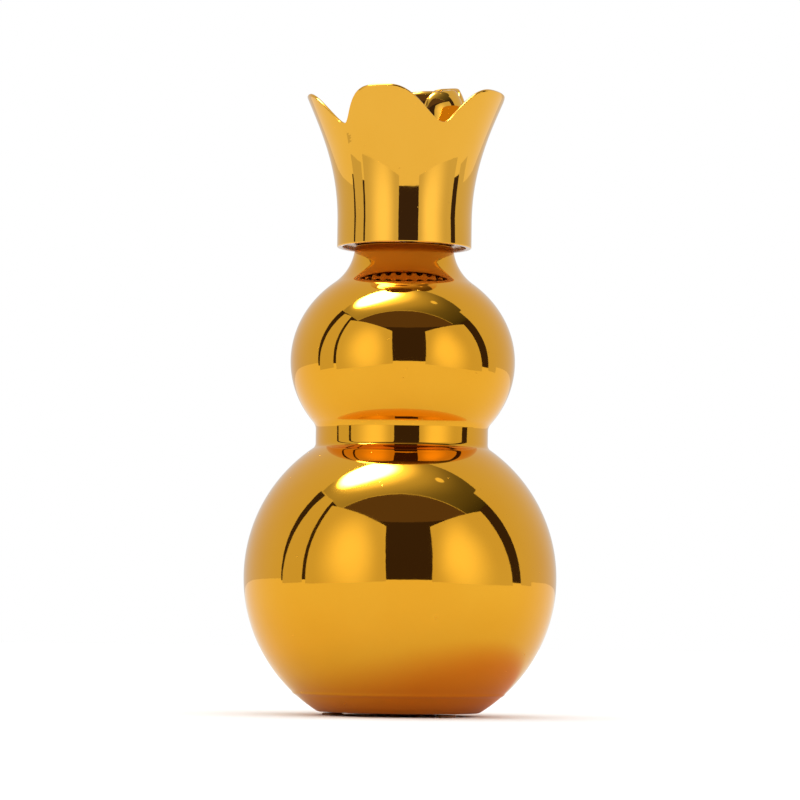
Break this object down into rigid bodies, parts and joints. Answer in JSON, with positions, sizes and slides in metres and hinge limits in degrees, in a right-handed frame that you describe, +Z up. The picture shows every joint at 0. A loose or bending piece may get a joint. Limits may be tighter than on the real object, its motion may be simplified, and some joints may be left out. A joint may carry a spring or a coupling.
{
  "type": "double gourd bottle",
  "caption": "Double gourd bottle of gold plated glass with a waist band, a screw cap shaped as a flared petal crown with a rose bud inside, a bead pourer and small foot pads.",
  "frame": {"origin": "on the axis, on the plane that the foot pads stand on", "axes": "+Z up along the bottle's axis, -Y towards the side that the picture shows, +X to its right"},
  "size_m": [0.1, 0.1, 0.2042],
  "materials": {
    "glass_gold": "mirror gold plating over glass",
    "cap_gold": "bright gold plating over moulded plastic",
    "closure_gold": "satin gold plating over moulded plastic",
    "pad_rubber": "soft clear amber bumper",
    "fitment_white": "natural polyethylene",
    "foam_white": "foamed polyethylene with a skin",
    "bead_glass": "polished"
  },
  "bodies": {
    "bottle": {"bottle_body": "glass_gold", "foot_pad_left": "pad_rubber", "foot_pad_right": "pad_rubber", "foot_pad_back": "pad_rubber", "pourer_body": "fitment_white", "pour_spout": "fitment_white"},
    "bead": {"check_bead": "bead_glass"},
    "liner": {"closure_liner": "foam_white"},
    "cap": {"inner_closure": "closure_gold", "crown_shell": "cap_gold", "rose_bud": "cap_gold"}
  },
  "joints": [
    {"name": "cap_rise", "type": "slide", "parent": "bottle", "child": "liner", "axis": [0, 0, 1], "range_m": [0, 0.0261]},
    {"name": "cap_turn", "type": "hinge", "parent": "liner", "child": "cap", "pos_m": [0, 0, 0.14983], "axis": [0, 0, 1], "range_deg": [0, 1170]},
    {"name": "bead_lift", "type": "slide", "parent": "bottle", "child": "bead", "axis": [0, 0, 1], "range_m": [0, 0.003]}
  ],
  "couplings": [
    {"joint": "cap_rise", "follows": "cap_turn", "m_per_rad": 0.0012732}
  ]
}
